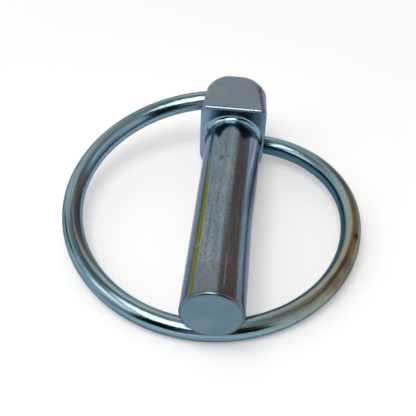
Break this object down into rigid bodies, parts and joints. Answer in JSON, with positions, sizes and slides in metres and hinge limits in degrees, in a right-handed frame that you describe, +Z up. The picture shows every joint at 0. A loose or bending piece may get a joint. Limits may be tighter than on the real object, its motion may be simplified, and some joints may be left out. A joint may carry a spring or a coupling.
{
  "type": "linch pin",
  "caption": "Linch pin: round steel shank with a forged block head that carries a sprung wire ring, which snaps shut under the tip and keeps the pin in its hole.",
  "frame": {"origin": "on the table, under the middle of the lying part's footprint", "axes": "+X across the pin to the right, +Y from the tip towards the head, +Z up from the table"},
  "size_m": [0.054, 0.0558, 0.0152],
  "materials": {
    "pin_zinc": "satin blue zinc plate on forged steel, with faint yellow and lilac tints",
    "ring_zinc": "bright blue zinc plate on drawn spring wire"
  },
  "bodies": {
    "pin": {"pin": "pin_zinc"},
    "ring": {"ring": "ring_zinc"}
  },
  "joints": [
    {"name": "ring_swing", "type": "hinge", "parent": "pin", "child": "ring", "pos_m": [0.0022, 0.0217, 0.00759], "axis": [1, 0, 0], "range_deg": [0, 340], "deforming": ["ring"]}
  ]
}
